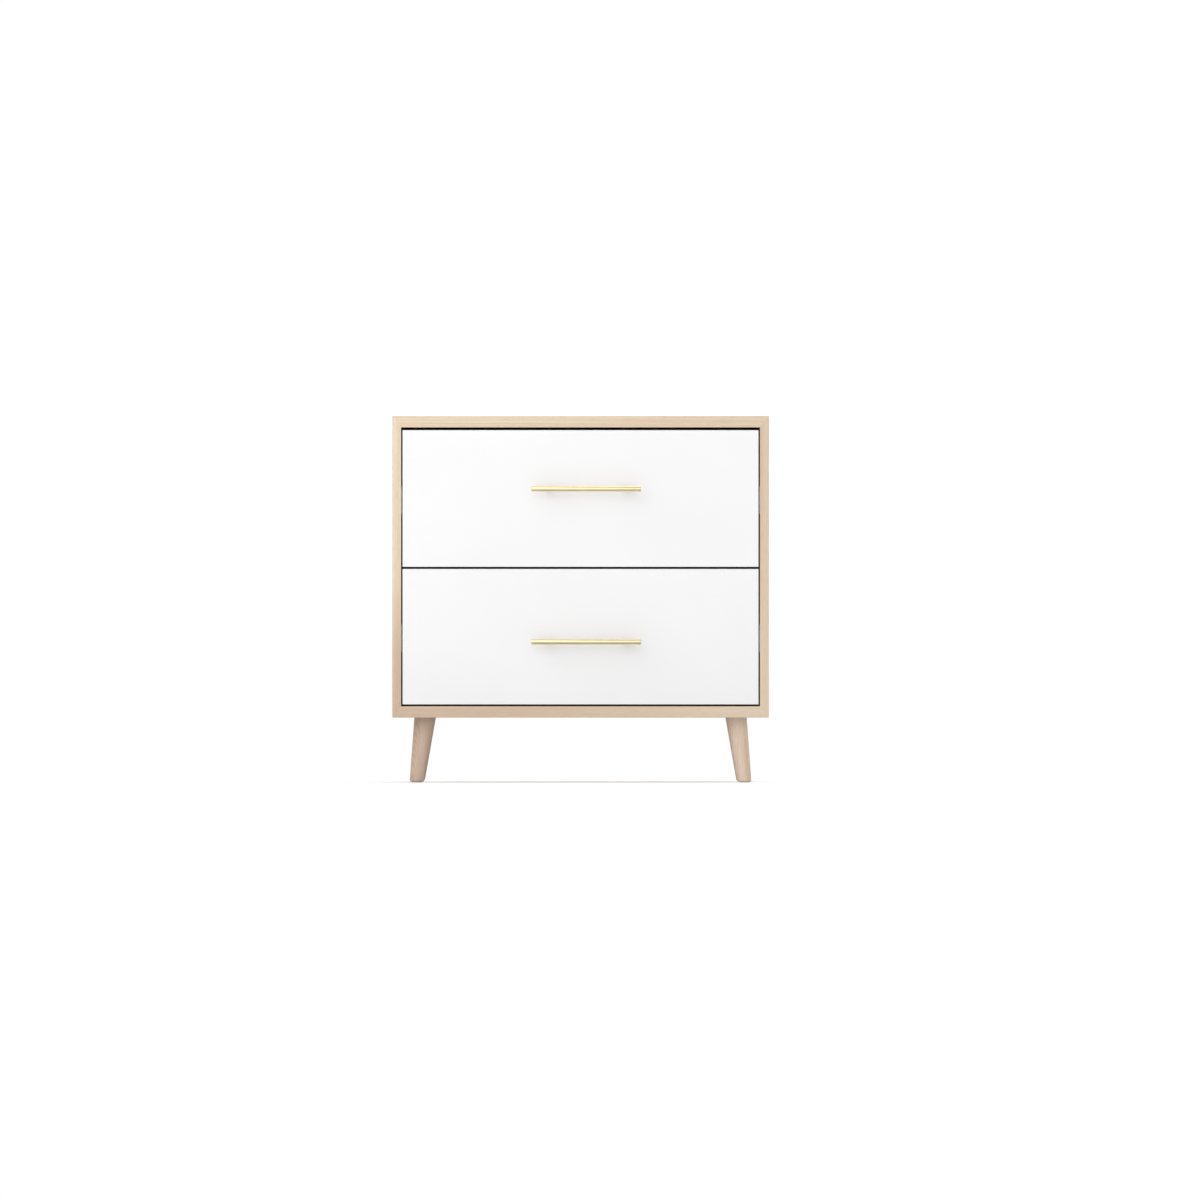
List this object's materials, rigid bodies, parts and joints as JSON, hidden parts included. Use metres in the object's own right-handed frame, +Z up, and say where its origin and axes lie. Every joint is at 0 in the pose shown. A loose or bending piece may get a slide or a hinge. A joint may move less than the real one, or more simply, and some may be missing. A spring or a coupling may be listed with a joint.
{
  "type": "nightstand with drawers",
  "caption": "Low nightstand: a mitred pale wood case with two inset white drawers, slim round brass bar pulls and splayed, tapered wooden legs.",
  "frame": {"origin": "centre of the overall footprint, pulls included, at floor level", "axes": "+Z up; the drawer fronts face -Y; +X is to the right of someone facing the drawers"},
  "size_m": [0.627, 0.488, 0.61],
  "materials": {
    "case_wood": "pale, lightly whitewashed oak veneer, satin",
    "leg_wood": "turned solid oak, satin",
    "white_lacquer": "board under white satin lacquer",
    "plywood": "clear-coated birch plywood",
    "back_board": "thin veneered board",
    "brass": "satin brass",
    "zinc_steel": "zinc-plated steel",
    "nylon": "off-white nylon"
  },
  "bodies": {
    "case": {"top_panel": "case_wood", "bottom_panel": "case_wood", "left_side_panel": "case_wood", "right_side_panel": "case_wood", "back_panel": "back_board", "back_panel_screws": "zinc_steel", "corner_splines": "plywood", "front_left_leg": "leg_wood", "front_right_leg": "leg_wood", "rear_left_leg": "leg_wood", "rear_right_leg": "leg_wood", "leg_plates": "zinc_steel", "leg_bolts": "zinc_steel", "leg_plate_screws": "zinc_steel", "foot_glides": "nylon", "cabinet_rail_screws": "zinc_steel", "upper_left_cabinet_rail": "zinc_steel", "upper_right_cabinet_rail": "zinc_steel", "lower_left_cabinet_rail": "zinc_steel", "lower_right_cabinet_rail": "zinc_steel"},
    "upper_drawer": {"upper_drawer_front": "white_lacquer", "upper_front_screws": "zinc_steel", "upper_pull_bar": "brass", "upper_pull_posts": "brass", "upper_pull_screws": "zinc_steel", "upper_box_left_side": "plywood", "upper_box_right_side": "plywood", "upper_box_front": "plywood", "upper_box_back": "plywood", "upper_box_bottom": "plywood", "upper_left_drawer_rail": "zinc_steel", "upper_right_drawer_rail": "zinc_steel", "upper_rail_screws": "zinc_steel"},
    "lower_drawer": {"lower_drawer_front": "white_lacquer", "lower_front_screws": "zinc_steel", "lower_pull_bar": "brass", "lower_pull_posts": "brass", "lower_pull_screws": "zinc_steel", "lower_box_left_side": "plywood", "lower_box_right_side": "plywood", "lower_box_front": "plywood", "lower_box_back": "plywood", "lower_box_bottom": "plywood", "lower_left_drawer_rail": "zinc_steel", "lower_right_drawer_rail": "zinc_steel", "lower_rail_screws": "zinc_steel"},
    "upper_left_outer_ball_cage": {"upper_left_outer_ball_cage": "zinc_steel"},
    "upper_left_middle_rail": {"upper_left_middle_rail": "zinc_steel"},
    "upper_left_inner_ball_cage": {"upper_left_inner_ball_cage": "zinc_steel"},
    "upper_right_outer_ball_cage": {"upper_right_outer_ball_cage": "zinc_steel"},
    "upper_right_middle_rail": {"upper_right_middle_rail": "zinc_steel"},
    "upper_right_inner_ball_cage": {"upper_right_inner_ball_cage": "zinc_steel"},
    "lower_left_outer_ball_cage": {"lower_left_outer_ball_cage": "zinc_steel"},
    "lower_left_middle_rail": {"lower_left_middle_rail": "zinc_steel"},
    "lower_left_inner_ball_cage": {"lower_left_inner_ball_cage": "zinc_steel"},
    "lower_right_outer_ball_cage": {"lower_right_outer_ball_cage": "zinc_steel"},
    "lower_right_middle_rail": {"lower_right_middle_rail": "zinc_steel"},
    "lower_right_inner_ball_cage": {"lower_right_inner_ball_cage": "zinc_steel"}
  },
  "joints": [
    {"name": "upper_drawer_slide", "type": "slide", "parent": "case", "child": "upper_drawer", "axis": [0, -1, 0], "range_m": [0, 0.4]},
    {"name": "lower_drawer_slide", "type": "slide", "parent": "case", "child": "lower_drawer", "axis": [0, -1, 0], "range_m": [0, 0.4]},
    {"name": "upper_left_outer_ball_cage_slide", "type": "slide", "parent": "case", "child": "upper_left_outer_ball_cage", "axis": [0, -1, 0], "range_m": [0, 0.1]},
    {"name": "upper_left_middle_rail_slide", "type": "slide", "parent": "case", "child": "upper_left_middle_rail", "axis": [0, -1, 0], "range_m": [0, 0.2]},
    {"name": "upper_left_inner_ball_cage_slide", "type": "slide", "parent": "case", "child": "upper_left_inner_ball_cage", "axis": [0, -1, 0], "range_m": [0, 0.3]},
    {"name": "upper_right_outer_ball_cage_slide", "type": "slide", "parent": "case", "child": "upper_right_outer_ball_cage", "axis": [0, -1, 0], "range_m": [0, 0.1]},
    {"name": "upper_right_middle_rail_slide", "type": "slide", "parent": "case", "child": "upper_right_middle_rail", "axis": [0, -1, 0], "range_m": [0, 0.2]},
    {"name": "upper_right_inner_ball_cage_slide", "type": "slide", "parent": "case", "child": "upper_right_inner_ball_cage", "axis": [0, -1, 0], "range_m": [0, 0.3]},
    {"name": "lower_left_outer_ball_cage_slide", "type": "slide", "parent": "case", "child": "lower_left_outer_ball_cage", "axis": [0, -1, 0], "range_m": [0, 0.1]},
    {"name": "lower_left_middle_rail_slide", "type": "slide", "parent": "case", "child": "lower_left_middle_rail", "axis": [0, -1, 0], "range_m": [0, 0.2]},
    {"name": "lower_left_inner_ball_cage_slide", "type": "slide", "parent": "case", "child": "lower_left_inner_ball_cage", "axis": [0, -1, 0], "range_m": [0, 0.3]},
    {"name": "lower_right_outer_ball_cage_slide", "type": "slide", "parent": "case", "child": "lower_right_outer_ball_cage", "axis": [0, -1, 0], "range_m": [0, 0.1]},
    {"name": "lower_right_middle_rail_slide", "type": "slide", "parent": "case", "child": "lower_right_middle_rail", "axis": [0, -1, 0], "range_m": [0, 0.2]},
    {"name": "lower_right_inner_ball_cage_slide", "type": "slide", "parent": "case", "child": "lower_right_inner_ball_cage", "axis": [0, -1, 0], "range_m": [0, 0.3]}
  ],
  "couplings": [
    {"joint": "upper_left_outer_ball_cage_slide", "follows": "upper_drawer_slide", "ratio": 0.25},
    {"joint": "upper_left_middle_rail_slide", "follows": "upper_drawer_slide", "ratio": 0.5},
    {"joint": "upper_left_inner_ball_cage_slide", "follows": "upper_drawer_slide", "ratio": 0.75},
    {"joint": "upper_right_outer_ball_cage_slide", "follows": "upper_drawer_slide", "ratio": 0.25},
    {"joint": "upper_right_middle_rail_slide", "follows": "upper_drawer_slide", "ratio": 0.5},
    {"joint": "upper_right_inner_ball_cage_slide", "follows": "upper_drawer_slide", "ratio": 0.75},
    {"joint": "lower_left_outer_ball_cage_slide", "follows": "lower_drawer_slide", "ratio": 0.25},
    {"joint": "lower_left_middle_rail_slide", "follows": "lower_drawer_slide", "ratio": 0.5},
    {"joint": "lower_left_inner_ball_cage_slide", "follows": "lower_drawer_slide", "ratio": 0.75},
    {"joint": "lower_right_outer_ball_cage_slide", "follows": "lower_drawer_slide", "ratio": 0.25},
    {"joint": "lower_right_middle_rail_slide", "follows": "lower_drawer_slide", "ratio": 0.5},
    {"joint": "lower_right_inner_ball_cage_slide", "follows": "lower_drawer_slide", "ratio": 0.75}
  ]
}
